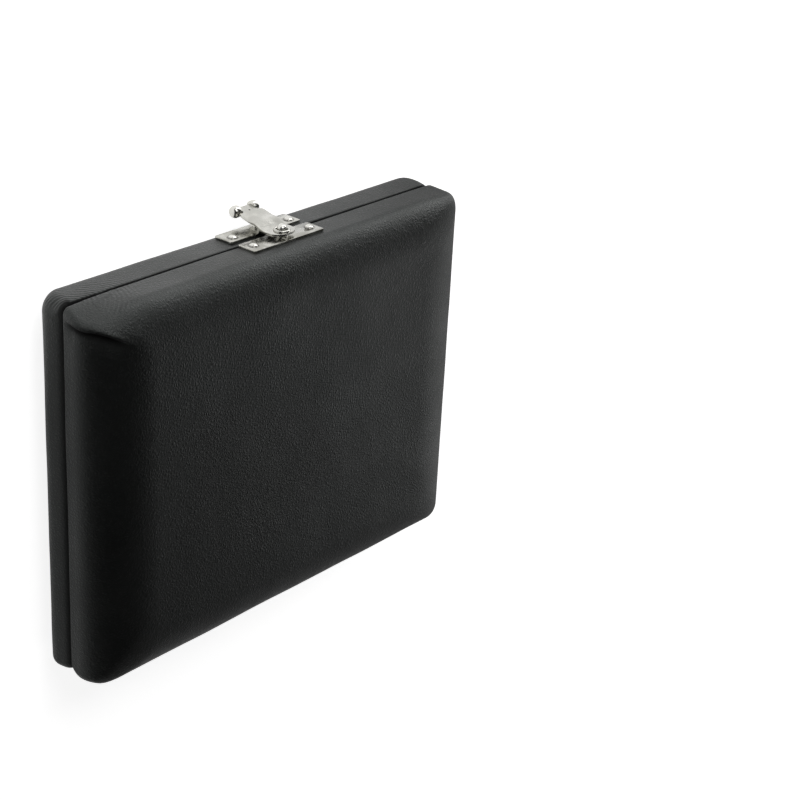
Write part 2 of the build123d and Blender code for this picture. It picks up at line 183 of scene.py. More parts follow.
def makePiece(bm, name, material, flatAngle=35.0):
    # turns a bmesh in millimetres into an object in metres
    bmesh.ops.remove_doubles(bm, verts=bm.verts[:], dist=0.0005)
    rightNormals(bm)
    bmesh.ops.scale(bm, vec=(mm, mm, mm), verts=bm.verts[:])
    mesh = toMesh(bm, name)
    shade(mesh, flatAngle)
    mesh.materials.append(material)
    return addToScene(name, mesh)


def standFor(piece, body, node):
    # the piece rides on a body and stands for a CAD node
    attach(piece, body)
    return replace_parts(piece, node)


def applyModifiers(piece):
    bpy.context.view_layer.update()
    shown = piece.evaluated_get(bpy.context.evaluated_depsgraph_get())
    mesh = bpy.data.meshes.new_from_object(shown)
    piece.modifiers.clear()
    old, piece.data = piece.data, mesh
    bpy.data.meshes.remove(old)
    mesh.name = piece.name


def combine(piece, shapes, operation, flatAngle=35.0):
    # cuts the shapes out of the piece, or joins them to it
    tools = [makePiece(bm, "tool", piece.data.materials[0]) for bm in shapes]
    for tool in tools:
        change = piece.modifiers.new("change", "BOOLEAN")
        change.operation, change.solver, change.object = operation, "EXACT", tool
    applyModifiers(piece)
    for tool in tools:
        bpy.data.objects.remove(tool)
    shade(piece.data, flatAngle)


alongX, alongY = rotated(90, "Y"), rotated(-90, "X")


def onLatchWall(x=0.0, z=0.0, height=0.0):
    # takes shapes drawn in XY and raised along Z to the latch wall: X stays, Y becomes Z
    return Matrix.Translation((latchX + x, faceY - height, z)) @ rotated(90, "X")


# Shader maths written as Python

def bothWays(operation):
    # an operator and its reflected form, each of which adds one Math node
    return (
        lambda wire, other: wire.join(operation, wire, other),
        lambda wire, other: wire.join(operation, other, wire),
    )


class Wire:
    def __init__(self, finish, socket):
        self.finish, self.socket = finish, socket

    def join(self, operation, first, second=0.0):
        return self.finish.node("Math", {"operation": operation}, {0: first, 1: second})

    __add__, __radd__ = bothWays("ADD")
    __sub__, __rsub__ = bothWays("SUBTRACT")
    __mul__, __rmul__ = bothWays("MULTIPLY")
    __pow__, __rpow__ = bothWays("POWER")

    def __abs__(self):
        return self.join("ABSOLUTE", self)

    def most(self, other):
        return self.join("MAXIMUM", self, other)

    def least(self, other):
        return self.join("MINIMUM", self, other)


def solid(tone):
    # a colour socket takes four numbers
    return tone if isinstance(tone, Wire) else (*tone, 1.0)


class Finish:
    # one material or the world, built node by node
    def __init__(self, owner):
        owner.use_nodes = True
        self.owner, self.tree = owner, owner.node_tree
        self.tree.nodes.clear()

    def node(self, kind, settings=None, inputs=None, output=0):
        node = self.tree.nodes.new(f"ShaderNode{kind}")
        for name, value in (settings or {}).items():
            setattr(node, name, value)
        for name, value in (inputs or {}).items():
            if isinstance(value, Wire):
                self.tree.links.new(value.socket, node.inputs[name])
            else:
                node.inputs[name].default_value = value
        return Wire(self, node.outputs[output]) if node.outputs else None

    def place(self, scale=(1.0, 1.0, 1.0), turn=(0.0, 0.0, 0.0)):
        # Object coordinates, scaled to pattern units per metre
        spot = self.node("TexCoord", output=3)
        return self.node("Mapping", {}, {"Vector": spot, "Scale": scale, "Rotation": turn})

    def split(self, spot):
        first = self.node("SeparateXYZ", {}, {"Vector": spot})
        return [Wire(self, socket) for socket in first.socket.node.outputs]

    def cloud(self, spot, scale, detail=2.0, roughness=0.5, distortion=0.0, output=0):
        return self.node("TexNoise", {}, {
            "Vector": spot, "Scale": scale, "Detail": detail, "Roughness": roughness,
            "Distortion": distortion,
        }, output)

    def cells(self, spot, scale, feature="F1"):
        return self.node("TexVoronoi", {"feature": feature}, {"Vector": spot, "Scale": scale})

    def range(self, value, low, high, toLow=0.0, toHigh=1.0):
        return self.node("MapRange", {"interpolation_type": "SMOOTHSTEP", "clamp": True}, {
            "Value": value, "From Min": low, "From Max": high, "To Min": toLow, "To Max": toHigh,
        })

    def tint(self, share, first, second):
        return self.node("Mix", {"data_type": "RGBA", "clamp_factor": True}, {
            0: share, 6: solid(first), 7: solid(second),
        }, output=2)

    def bump(self, height, distance):
        return self.node("Bump", {}, {"Height": height, "Distance": distance, "Strength": 1.0})

    def shader(self, **inputs):
        names = {name.replace("_", " "): value for name, value in inputs.items()}
        return self.node("BsdfPrincipled", {}, names)

    def show(self, shader):
        self.node("OutputMaterial", {}, {"Surface": shader})
        return self.owner

    def surface(self, **inputs):
        return self.show(self.shader(**inputs))


def finishNamed(name):
    return Finish(bpy.data.materials.new(name))


# Materials

leatherFinish = {
    "grain": 0.88, "grainDepth": 0.085, "stray": 1.1,  # mm: a pebble, its height and its straying
    "colour": (0.0024, 0.0027, 0.0026), "worn": (0.0050, 0.0056, 0.0054), "roughness": (0.38, 0.50),
    # the last colour below is that of the painted shade at the seam, in the fold and under the lid's edge
    "seamShadeColour": (0.005, 0.005, 0.005),
    "seamShadeEdge": (0.44, 0.66),  # mm from the seam, over which the painted seam shade fades into the plain skin
    "seamShadeWidth": 2.0,  # mm that the painted seam shade reaches in from the outside
    "lidShadowBand": (3.0, 0.9), "lidShadowEnd": (61.0, 62.0), "lidShadowShare": 0.85,  # painted shadow on the end wall below the seam, under the lid's edge
}
crescentFinish = {
    "middle": 66.0, "seamGap": 1.5, "flatten": 1.7,  # their middle lies outside the corner at the seam
    "pitch": 1.2, "jitter": 14.0, "height": 1.1,
    "wall": (-47.0, -48.8), "reach": (10.0, 26.0), "patchScale": 170.0, "patches": (0.40, 0.56),
}


def latchCrescents(finish, spot, patch):
    # fine crescents in the latch wall's corner, beside the seam
    form = crescentFinish
    across, along, up = finish.split(spot)
    sideways = across - form["middle"] * mm
    fromSeam = abs(up - seam * mm) + form["seamGap"] * mm
    reach = (sideways * sideways + fromSeam * fromSeam * form["flatten"]) ** 0.5
    phase = reach * (math.tau / (form["pitch"] * mm)) + patch * form["jitter"]
    onWall = finish.range(along, form["wall"][0] * mm, form["wall"][1] * mm)
    near = finish.range(reach, form["reach"][0] * mm, form["reach"][1] * mm, 1.0, 0.0)
    patches = finish.range(finish.cloud(spot, form["patchScale"]), *form["patches"])
    return phase.join("SINE", phase) * (onWall * near) * patches * form["height"]


def paintedSeamShade(finish, spot):
    # painted shade: a darker, duller skin along the seam, in the fold's crease and on the end wall under the lid's
    # edge
    form = leatherFinish
    across, along, up = finish.split(spot)
    margin, low, high = form["seamShadeWidth"] * mm, *(part * mm for part in form["seamShadeEdge"])
    ends, sides = (
        finish.range(abs(value), limit * mm - 1.3 * margin, limit * mm - margin)
        for value, limit in ((across, baseHigh.x), (along, baseHigh.y))
    )
    edge = finish.range(abs(up - seam * mm), low, high, 1.0, 0.0) * ends.most(sides)
    # painted shadow on the base's end wall, under the lid's edge
    foot, top = (seam - part for part in form["lidShadowBand"])
    under = finish.range(up, foot * mm, top * mm, 0.0, form["lidShadowShare"])
    under = under * finish.range(up, seam * mm, (seam + 0.1) * mm, 1.0, 0.0)
    under = under * finish.range(across, *(part * mm for part in form["lidShadowEnd"]))
    # the fold's painted crease shade, kept on the vertices
    fold = finish.node("Attribute", {"attribute_name": "fold"}, output=2)
    return edge.most(under).most(fold)


def blackLeather():
    form = leatherFinish
    finish = finishNamed("blackLeather")
    spot = finish.place()
    grain = 1 / (form["grain"] * mm)
    bend = finish.cloud(spot, grain * 0.35, 3.0, output=1)
    warped = finish.node("VectorMath", {"operation": "MULTIPLY_ADD"}, {
        0: bend, 1: [form["stray"] * mm] * 3, 2: spot,
    })
    pebble = finish.range(finish.cells(warped, grain, "DISTANCE_TO_EDGE"), 0.0, 0.42)
    small = finish.range(finish.cells(warped, grain * 1.9, "DISTANCE_TO_EDGE"), 0.0, 0.4)
    pores = finish.cloud(spot, grain * 3.4, 3.0, 0.65)
    patch, broad = finish.cloud(spot, 55.0, 4.0, 0.55), finish.cloud(spot, 14.0)
    height = pebble * 0.55 + small * 0.3 + pores * 0.7 + patch * 0.8 + latchCrescents(finish, spot, patch)
    smooth, rough = form["roughness"]
    skin = finish.shader(
        Base_Color=finish.tint(finish.range(pebble * patch, 0.15, 0.6), form["colour"], form["worn"]),
        Roughness=finish.range(patch * 0.7 + pebble * 0.2 + broad * 0.3, 0.35, 0.85, rough, smooth),
        Specular_IOR_Level=0.5, Specular_Tint=solid((0.95, 1.0, 0.975)),
        Normal=finish.bump(height, form["grainDepth"] * mm),
    )
    # the dark, dull skin of the painted shade
    shadedSkin = finish.shader(Base_Color=solid(form["seamShadeColour"]), Roughness=0.8, Specular_IOR_Level=0.14)
    paintedShade = paintedSeamShade(finish, spot)
    return finish.show(finish.node("MixShader", {}, {0: paintedShade, 1: skin, 2: shadedSkin}))


nailShadeRing = (0.85, 1.2, 1.25, 1.75)  # mm from a nail's middle: the painted shade rises, then fades


def nailRingShade(finish, spot):
    # painted shade: dark rings round the nail heads and on the plate round them
    across, along, up = finish.split(spot)
    nearest = None
    for plate in ("latch_plate", "catch_plate"):
        low, high = nodeBox(f"{plate}_nails")
        edge = (high.z - low.z) / 2
        for x in (low.x + edge, high.x - edge):
            sideways, above = across - x * mm, up - (low.z + high.z) / 2 * mm
            apart = (sideways * sideways + above * above) ** 0.5
            nearest = nearest.least(apart) if nearest else apart
    inside, full, fading, clear = (part * mm for part in nailShadeRing)
    return finish.range(nearest, inside, full) * finish.range(nearest, fading, clear, 1.0, 0.0)


def nickelPlate(name, dark, light, shine, relief=0.02, ringShade=0.0):
    finish = finishNamed(name)
    spot = finish.place()
    brushed = finish.cloud(finish.place(scale=(260.0, 1500.0, 4200.0)), 1.0, 3.0, 0.6)
    cloudy, dents = finish.cloud(spot, 240.0, 3.0, 0.55), finish.cloud(spot, 700.0)
    base = finish.tint(finish.range(cloudy, 0.35, 0.7), dark, light)
    # painted shade: dark rings round the nail heads
    if ringShade:
        base = finish.tint(nailRingShade(finish, spot) * ringShade, base, (0.10, 0.095, 0.085))
    return finish.surface(
        Base_Color=base, Metallic=1.0,
        Roughness=finish.range(brushed * 0.5 + cloudy * 0.5, 0.3, 0.75, shine, shine + 0.15),
        Normal=finish.bump(brushed * 0.25 + dents, relief * mm),
    )


def springSteel():
    finish = finishNamed("springSteel")
    drawn = finish.cloud(finish.place(), 3000.0)
    return finish.surface(
        Base_Color=finish.tint(drawn, (0.30, 0.30, 0.30), (0.50, 0.49, 0.47)), Metallic=1.0,
        Roughness=finish.range(drawn, 0.3, 0.7, 0.25, 0.45), Normal=finish.bump(drawn, 0.01 * mm),
    )


def brass():
    finish = finishNamed("brass")
    stain = finish.cloud(finish.place(), 300.0, 4.0, 0.6)
    lines = finish.cloud(finish.place(scale=(4000.0, 500.0, 500.0)), 1.0)
    return finish.surface(
        Base_Color=finish.tint(finish.range(stain, 0.35, 0.7), (0.80, 0.60, 0.27), (0.62, 0.43, 0.18)),
        Metallic=1.0, Roughness=finish.range(stain * 0.6 + lines * 0.4, 0.3, 0.7, 0.22, 0.42),
        Normal=finish.bump(lines + stain, 0.008 * mm),
    )


def plush():
    # short dense pile, with painted shade and sheen in its colour: darker between the tufts, lighter where it is
    # brushed over
    finish = finishNamed("plush")
    spot = finish.place()
    pile, tuft = finish.cloud(spot, 2600.0, 3.0, 0.7), finish.cells(spot, 1500.0)
    brushed = finish.cloud(finish.place(scale=(1.0, 0.55, 1.0), turn=(0.0, 0.0, 0.5)), 90.0, 3.0, 0.6)
    # painted shade and sheen of the pile
    light = finish.range(pile * 0.6 + brushed * 0.5, 0.35, 0.8)
    return finish.surface(
        Base_Color=finish.tint(light, (0.010, 0.010, 0.011), (0.045, 0.045, 0.048)), Roughness=0.95,
        Specular_IOR_Level=0.15, Sheen_Weight=0.35, Sheen_Roughness=0.45,
        Normal=finish.bump(pile + (1.0 - tuft) * 0.5, 0.18 * mm),
    )


def wood(name, dark, light, shine, scale=(40.0, 420.0, 420.0), pitch=1.6):
    finish = finishNamed(name)
    rings = finish.cloud(finish.place(scale=scale), pitch, 4.0, 0.6, 0.6)
    fibre = finish.cloud(finish.place(scale=[8 * part for part in scale]), 1.0, 2.0, 0.6)
    return finish.surface(
        Base_Color=finish.tint(finish.range(rings * 0.7 + fibre * 0.3, 0.3, 0.7), dark, light),
        Roughness=finish.range(fibre, 0.3, 0.7, shine + 0.12, shine), Normal=finish.bump(fibre, 0.02 * mm),
    )


finishes = {
    "black_leather": blackLeather(),
    "plush": plush(),
    "poplar": wood("poplar", (0.42, 0.28, 0.15), (0.66, 0.50, 0.31), 0.6),
    "black_wood": wood("blackWood", (0.010, 0.009, 0.008), (0.035, 0.029, 0.025), 0.38),
    "beech": wood("beech", (0.47, 0.27, 0.13), (0.66, 0.43, 0.24), 0.42, (420.0, 40.0, 420.0), 1.1),
    "brass": brass(),
    "nickel": nickelPlate("nickelPlate", (0.42, 0.415, 0.385), (0.54, 0.535, 0.50), 0.16),
    "spring_steel": springSteel(),
}
# the last number given to the plates and the nails is the strength of their painted shade round the nail heads
dullNickel = nickelPlate("dullNickel", (0.31, 0.305, 0.275), (0.54, 0.535, 0.50), 0.17, 0.02, 0.85)
polishedNickel = nickelPlate("polishedNickel", (0.50, 0.495, 0.46), (0.62, 0.615, 0.58), 0.14, 0.004)
nailNickel = nickelPlate("nailNickel", (0.52, 0.515, 0.475), (0.64, 0.635, 0.60), 0.14, 0.004, 0.85)
print("finishes ready")


# Trays of leather and plush, made ring by ring from a flat face

shellForm = {
    "cell": 0.54, "dense": 0.76, "woodCell": 4.0, "woodDense": 0.3,
    "endRun": 17.0, "endDrop": {-1: 8.4, 1: 9.8}, "farDrop": 7.5,  # round-over at the two ends
    "sideRun": 12.0, "sideDrop": 6.0,  # round-over at the latch wall and the spine
    "faceCorner": 7.0, "latchCorner": 2.2, "foldCorner": 1.25, "rimCorner": 1.7,
    "farCorner": 4.2, "spineCorner": 2.4,
    "bend": {-1: 0.0, 1: 3.2}, "rimBend": 0.5,  # how far the skin is drawn back at the fold
    "bendRun": 17.0, "bendPower": 2.2, "bendDepth": 26.0, "bendFar": 0.12,
    "lip": 0.55, "spineLip": 3.0, "thickness": 0.8, "rimDrop": 0.20,
    "tuck": 1.6, "tuckFrom": 6.8,  # the base's end walls lean in towards the seam
    "cavity": {
        "half": 57.2, "farHalf": 57.2, "front": -44.5, "back": 44.5, "frontCorner": 2.0, "backCorner": 2.0,
    },
    "roundSteps": 22, "wallSteps": 12, "lipSteps": 6, "rimSteps": 5, "woodSteps": 10,
    "hiddenSteps": (1.0, 0.75, 0.5, 0.36, 0.25, 0.16, 0.09, 0.04, 0.01, 0.0),
    "woodGap": 0.04, "bayFloor": 2.6,
    "crown": 0.22,  # rise of the lid's face in its middle
    "wave": 0.10,  # slow unevenness of the pasted leather
}
foldForm = {  # the skin lapped at the lid's latch corner
    "reach": 12.0, "inset": 0.4, "drift": 1.1, "driftFrom": (7.0, 12.5),
    "rise": (0.5, 2.8), "fade": (9.5, 13.0),  # depths below the face
    "lap": 0.95, "lapWidth": 1.5, "lapEnd": (-0.15, 0.35), "sideways": 0.35,
    "crease": 0.5, "creaseAt": 0.4, "creaseWidth": 0.5, "creaseFar": 3.5,
    "shadeAt": 0.7, "shadeWidth": 1.1,
}
crescentForm = {  # wrinkles round the latch corner, close to the seam
    "middle": (66.0, 15.0), "flatten": 1.3, "pitch": 1.35, "jitter": 3.4, "height": {-1: 0.035, 1: 0.091},
    "rise": (4.0, 7.0), "fade": (12.0, 30.0), "depth": (6.5, 10.0), "wall": (38.0, 46.0),
    "patches": (-0.2, 0.3),
}


def roundedPlace(p, q, ring):
    # a point of the unit square's edge on the ring's outline, whose corners are round
    half = ring["half"] if p > 0 else ring.get("farHalf", ring["half"])
    x, y = p * half, lerp(ring["front"], ring["back"], (q + 1) / 2)
    sideX, sideY = (1 if p > 0 else -1), (1 if q > 0 else -1)
    edgeY = ring["back"] if sideY > 0 else ring["front"]
    radius = ring["backCorner"] if sideY > 0 else ring["frontCorner"]
    if sideY < 0 and sideX < 0:
        radius = ring.get("farCorner", radius)
    onEnd = abs(p) >= abs(q)
    along = abs(edgeY - y) if onEnd else half - abs(x)
    if along < radius:
        turn = math.radians(45 * (1 - along / radius))
        reachX, reachY = (math.cos(turn), math.sin(turn)) if onEnd else (math.sin(turn), math.cos(turn))
        x = sideX * (half - radius + radius * reachX)
        y = edgeY - sideY * (radius - radius * reachY)
    if "bend" in ring:
        # the skin is drawn back towards the spine near the end, as far as the fold
        form = shellForm
        bend = ring["bend"] * (1.0 if sideX > 0 else form["bendFar"])
        reach = max(abs(x) - half + form["bendRun"], 0.0) / form["bendRun"]
        y += bend * reach ** form["bendPower"] * (1 - smoothStep(0.0, form["bendDepth"], y - ring["front"]))
    return x, y


def plainRing(z, half, wide, corner):
    return {"z": z, "half": half, "front": -wide, "back": wide, "frontCorner": corner, "backCorner": corner}


def ringTray(rings, cell, dense=0.0):
    # a closed shell: a grid for the flat face, then one band of faces for each further ring, then a cap
    first = rings[0]
    width, depth = 2 * first["half"], first["back"] - first["front"]
    middleY = (first["front"] + first["back"]) / 2
    bm = bmesh.new()
    bmesh.ops.create_grid(bm, x_segments=round(width / cell), y_segments=round(depth / cell), size=1.0)
    pLayer, qLayer = (bm.verts.layers.float.new(name) for name in ("ringP", "ringQ"))
    ringLayer = bm.verts.layers.int.new("ring")
    for vert in bm.verts:
        for axis, layer in ((0, pLayer), (1, qLayer)):
            # the grid is closer set towards the corners, where the skin bends most
            spread = vert.co[axis]
            vert[layer] = spread * (1 - dense + dense * (1.5 - 0.5 * spread * spread))
        p, q = vert[pLayer], vert[qLayer]
        share = max(abs(p), abs(q)) or 1.0
        x, y = roundedPlace(p / share, q / share, first)
        vert.co = (share * x, lerp(middleY, y, share), first["z"])
    edges = [edge for edge in bm.edges if edge.is_boundary]
    for number, ring in enumerate(rings[1:], start=1):
        fresh, edges = extrudeRing(bm, edges)
        for vert in fresh:
            vert[ringLayer] = number
            vert.co = (*roundedPlace(vert[pLayer], vert[qLayer], ring), ring["z"])
    bmesh.ops.edgeloop_fill(bm, edges=edges)
    return rightNormals(bm)


def toLid(bm):
    # mirror image of a base shape, about the seam
    bmesh.ops.scale(bm, vec=(1, 1, -1), verts=bm.verts[:])
    bmesh.ops.translate(bm, vec=(0, 0, 2 * seam), verts=bm.verts[:])


def quarterInset(run, drop, z):
    # how far an elliptical round-over stands in from the wall, z below the flat face
    share = (drop - min(z, drop)) / drop
    return run * (1 - math.sqrt(max(1 - share * share, 0.0)))


def lipInset(radius, z):
    over = max(z - (baseHigh.z - shellForm["rimDrop"] - radius), 0.0)
    return radius - math.sqrt(max(radius * radius - over * over, 0.0))


def endLean(z, side):
    form = shellForm
    share = max(z - form["tuckFrom"], 0.0) / (baseHigh.z - form["tuckFrom"])
    return form["tuck"] * share ** 2 if side < 0 else 0.0


def shellRing(z, endInset, farInset, sideInset, spineInset, side):
    form = shellForm
    nearRim = smoothStep(baseHigh.z - 4.0, baseHigh.z - 0.4, z)
    corner = form["farCorner"]
    if side > 0:
        corner = lerp(form["latchCorner"], form["foldCorner"], smoothStep(0.0, 2.4, z))
    drawn = form["bend"][side] * (1 - math.exp(-z / 2.4)) ** 0.8
    return {
        "z": z, "half": baseHigh.x - endInset, "farHalf": baseHigh.x - farInset,
        "front": baseLow.y + sideInset, "back": baseHigh.y - spineInset,
        "frontCorner": lerp(corner, form["rimCorner"], nearRim),
        "farCorner": lerp(form["faceCorner"], form["farCorner"], smoothStep(0.0, 4.0, z)),
        "backCorner": lerp(form["faceCorner"], form["spineCorner"], smoothStep(0.0, 6.0, z)),
        "bend": lerp(drawn, min(form["rimBend"], form["bend"][side]), smoothStep(6.0, baseHigh.z - 0.4, z)),
    }


def insideRing(z, side, gap=0.0):
    # outline of the leather's glued side, which is also the wood's outside
    form = shellForm
    thickness = form["thickness"] + gap
    depth = max(z - thickness, 0.0)
    end, far = (
        thickness + endLean(z, side) + quarterInset(form["endRun"] - thickness, drop - thickness, depth)
        for drop in (form["endDrop"][side], form["farDrop"])
    )
    wall = thickness + quarterInset(form["sideRun"] - thickness, form["sideDrop"] - thickness, depth)
    spine = max(lipInset(form["spineLip"], z + form["thickness"]) - form["thickness"], 0.0)
    return shellRing(z, end, far, wall, wall + spine, side)


def shellRings(side):
    # from the flat face at height 0 to the rim, then inwards, down the hollow and back under the leather
    form = shellForm
    rim, endDrop, thickness = baseHigh.z - form["rimDrop"], form["endDrop"][side], form["thickness"]
    lipFrom, steps = rim - form["lip"], form["wallSteps"]
    levels = [z for z, out in arc((endDrop, 0.0), endDrop, 180, 90, form["roundSteps"])]
    levels += [lerp(endDrop, lipFrom, (step + 1) / steps) for step in range(steps)]
    levels += [z for out, z in arc((0.0, lipFrom), form["lip"], 0, 90, form["lipSteps"])[1:]]
    rings = []
    for z in levels:
        lean, lip, spine = endLean(z, side), lipInset(form["lip"], z), lipInset(form["spineLip"], z)
        wall = quarterInset(form["sideRun"], form["sideDrop"], z)
        end, far = (quarterInset(form["endRun"], drop, z) + lean for drop in (endDrop, form["farDrop"]))
        rings.append(shellRing(z, end + lip, far + lip, wall + lip, wall + spine, side))
    skinRings, last, steps = len(rings), rings[-1], form["rimSteps"]
    for step in range(1, steps + 1):
        ring = {key: lerp(last[key], value, step / steps) for key, value in form["cavity"].items()}
        rings.append({"z": rim, **ring})
    rings += [{"z": rim - part, **form["cavity"]} for part in (thickness / 2, thickness)]
    rings += [insideRing(lerp(thickness, rim - thickness, share), side) for share in form["hiddenSteps"]]
    return rings, skinRings


def lapFold(p, q, depth, normal):
    # the latch wall's skin is lapped over the end wall's: its lift, its move and how much painted shade its crease
    # gets
    form = foldForm
    toEnd, toFront = (1 - abs(p)) * baseHigh.x, (1 - abs(q)) * baseHigh.y
    if p < 0 or q > 0 or max(toEnd, toFront) >= form["reach"]:
        return 0.0, Vector(), 0.0
    foldAt = shellForm["foldCorner"] + form["inset"] + form["drift"] * smoothStep(*form["driftFrom"], depth)
    away = toFront - foldAt if abs(p) >= abs(q) else -foldAt - toEnd
    strength = smoothStep(*form["rise"], depth) * (1 - smoothStep(*form["fade"], depth))
    lap = form["lap"] * bell(away, 0.0, form["lapWidth"]) * (1 - smoothStep(*form["lapEnd"], away))
    width = form["creaseWidth"] if away < form["creaseAt"] else form["creaseFar"]
    crease = form["crease"] * bell(away, form["creaseAt"], width)
    move = Vector((form["sideways"] * normal.x, normal.y, normal.z)) * strength * lap
    return -strength * crease, move, strength * bell(away, form["shadeAt"], form["shadeWidth"])


def crescents(spot, seed, side):
    form = crescentForm
    depth = spot.z
    reach = math.hypot(spot.x - form["middle"][0], (depth - form["middle"][1]) * form["flatten"])
    near = smoothStep(*form["rise"], reach) * (1 - smoothStep(*form["fade"], reach))
    near *= smoothStep(*form["depth"], depth) * smoothStep(*form["wall"], -spot.y)
    if not near or spot.x < 0:
        return 0.0
    slow = noise.noise(Vector((spot.x * 0.24, depth * 0.3, 1.7)) + seed)
    patches = smoothStep(*form["patches"], noise.noise(Vector((spot.x * 0.22, depth * 0.25, 9.1)) - seed))
    phase = reach / form["pitch"] + slow * form["jitter"]
    return form["height"][side] * near * patches * math.cos(math.tau * phase)


def unevenLeather(bm, side, skinRings):
    # slow waves of the pasted skin, the crown of the lid, the fold and the fine wrinkles at the latch corner
    form = shellForm
    bm.normal_update()
    ringLayer = bm.verts.layers.int["ring"]
    pLayer, qLayer = (bm.verts.layers.float[name] for name in ("ringP", "ringQ"))
    foldShadeLayer = bm.verts.layers.float.new("fold")
    seed = Vector((3.1, 7.7, side * 11.0))
    moves = []
    for vert in bm.verts:
        spot, normal = vert.co, vert.normal
        if vert[ringLayer] >= skinRings - 1:
            continue
        wave = noise.noise(spot * 0.045 + seed) + 0.5 * noise.noise(spot * 0.11 - seed)
        onFace = 1 - smoothStep(0.0, 2.0, spot.z)
        lift, lapMove = form["wave"] * wave * (1.0 if side > 0 else 1 - onFace), Vector()
        if side > 0:
            middle = (1 - (spot.x / 60) ** 2) * (1 - (spot.y / 46) ** 2)
            lift += form["crown"] * max(middle, 0.0) * onFace
        if side > 0 and vert[ringLayer] > 0:
            # the third value is the painted crease shade that the leather's material reads
            crease, lapMove, vert[foldShadeLayer] = lapFold(vert[pLayer], vert[qLayer], spot.z, normal)
            lift += crease
        moves.append((vert, normal * (lift + crescents(spot, seed, side)) + lapMove))
    for vert, move in moves:
        vert.co += move


hingeForm = {"seatGap": 0.15, "leaf": 0.8, "groove": 1.45, "toolRise": 1.0}


def hingeSeats(side):
    # blocks and bars that cut the seats of the hinge leaves and the grooves of their barrels
    form = hingeForm
    rim = baseHigh.z if side < 0 else nodeBox("lid_leather")[0].z
    shapes = []
    for name in ("left", "right"):
        leafLow, leafHigh = nodeBox(f"{name}_hinge_{'base' if side < 0 else 'lid'}_leaf")
        middle = (leafLow.x + leafHigh.x) / 2
        length = leafHigh.x - leafLow.x + 2 * form["seatGap"]
        front = leafLow.y - form["seatGap"]
        shapes.append(block(
            (middle, (front + hingePlace.y) / 2, rim + side * (form["leaf"] - form["toolRise"]) / 2),
            (length, hingePlace.y - front, form["leaf"] + form["toolRise"]),
        ))
        bar = bmesh.new()
        bmesh.ops.create_cone(bar, cap_ends=True, segments=40, radius1=form["groove"],
                              radius2=form["groove"], depth=length + 2 * form["leaf"])
        shapes.append(place(bar, Matrix.Translation((middle, hingePlace.y, hingePlace.z)) @ alongX))
    return shapes


def seatedShell(bm, side, name, slot, node, flatAngle):
    # a half of the case, with the seats of its hinges cut out
    if side > 0:
        toLid(bm)
    piece = makePiece(bm, name, finishes[slot], flatAngle)
    combine(piece, hingeSeats(side), "DIFFERENCE", flatAngle)
    return standFor(piece, "base" if side < 0 else "lid", node)


def leatherShell(side, name, node):
    rings, skinRings = shellRings(side)
    bm = ringTray(rings, shellForm["cell"], shellForm["dense"])
    unevenLeather(bm, side, skinRings)
    return seatedShell(bm, side, name, "black_leather", node, 40.0)


def woodTray(side, name, node):
    # the wooden core, which fills the space inside the leather down to the bay
    form = shellForm
    foot, drop = form["thickness"] + form["woodGap"], form["endDrop"][side]
    rim = baseHigh.z - form["rimDrop"] - foot
    levels = [z for z, out in arc((drop, 0.0), drop - foot, 180, 90, form["woodSteps"])]
    levels += [lerp(drop, rim, share) for share in (0.35, 0.7, 1.0)]
    rings = [insideRing(z, side, form["woodGap"]) for z in levels]
    rings += [{"z": z, **form["cavity"]} for z in (rim, form["bayFloor"])]
    bm = ringTray(rings, form["woodCell"], form["woodDense"])
    return seatedShell(bm, side, name, "poplar", node, 50.0)


baseCover = leatherShell(-1, "baseCover", "base_leather")
lidCover = leatherShell(1, "lidCover", "lid_leather")
woodTray(-1, "baseWood", "base_tray")
woodTray(1, "lidWood", "lid_tray")
print("leather and wood ready")


# Plush

liningForm = {
    "cell": 1.1, "thickness": 0.8, "floorRound": 1.6, "roundSteps": 6, "wallSteps": 8, "rollSteps": 6,
    "pile": 0.10, "leastCorner": 0.8, "backGap": 0.05,
}


def plushLining(side, name, body, node):
    # the pasted-in plush: floor, round foot of the wall, wall and rolled top edge
    form = liningForm
    low, high = nodeBox("base_lining")
    thickness, foot = form["thickness"], form["floorRound"]
    floor, roll = low.z + thickness, thickness / 2
    top = high.z - roll

    def ring(z, inset):
        corner = max(shellForm["cavity"]["backCorner"] - thickness - inset, form["leastCorner"])
        return plainRing(z, high.x - thickness - inset, high.y - thickness - inset, corner)

    roundSteps, wallSteps, rollSteps = (form[f"{part}Steps"] for part in ("round", "wall", "roll"))
    rings = [ring(floor + foot - up, foot - out) for up, out in arc((0.0, 0.0), foot, 0, 90, roundSteps)]
    rings += [ring(lerp(floor + foot, top, (step + 1) / wallSteps), 0.0) for step in range(wallSteps)]
    rings += [ring(up, out) for out, up in arc((-roll, top), roll, 0, 180, rollSteps)[1:]]
    rings.append(ring(low.z + form["backGap"], -thickness))
    bm = ringTray(rings, form["cell"])
    bm.normal_update()
    ringLayer = bm.verts.layers.int["ring"]
    skin = [(vert, vert.normal.copy()) for vert in bm.verts if vert[ringLayer] < len(rings) - 2]
    for vert, normal in skin:
        tuft = noise.noise(vert.co * 0.9) + 0.6 * noise.noise(vert.co * 0.23 + Vector((5, 1, 2)))
        vert.co += normal * form["pile"] * tuft
    if side > 0:
        toLid(bm)
    return standFor(makePiece(bm, name, finishes["plush"], 60.0), body, node)


for side, body in ((-1, "base"), (1, "lid")):
    lining = plushLining(side, f"{body}LiningPlush", body, f"{body}_lining")


cushionForm = {
    "inset": 1.5,  # mm that the flat pad starts inside its space, for the filling to take up
    "corner": 5.0, "edgeSteps": 6, "cell": 2.0,
    "grow": 10.0, "voxel": 1.2,  # the simulation runs on a pad ten times as large
    "pressure": 4.0, "frames": 14, "cap": 1.55,
    "seamDepth": 0.5, "seamWidth": 0.55, "seamReach": 2.5,
}


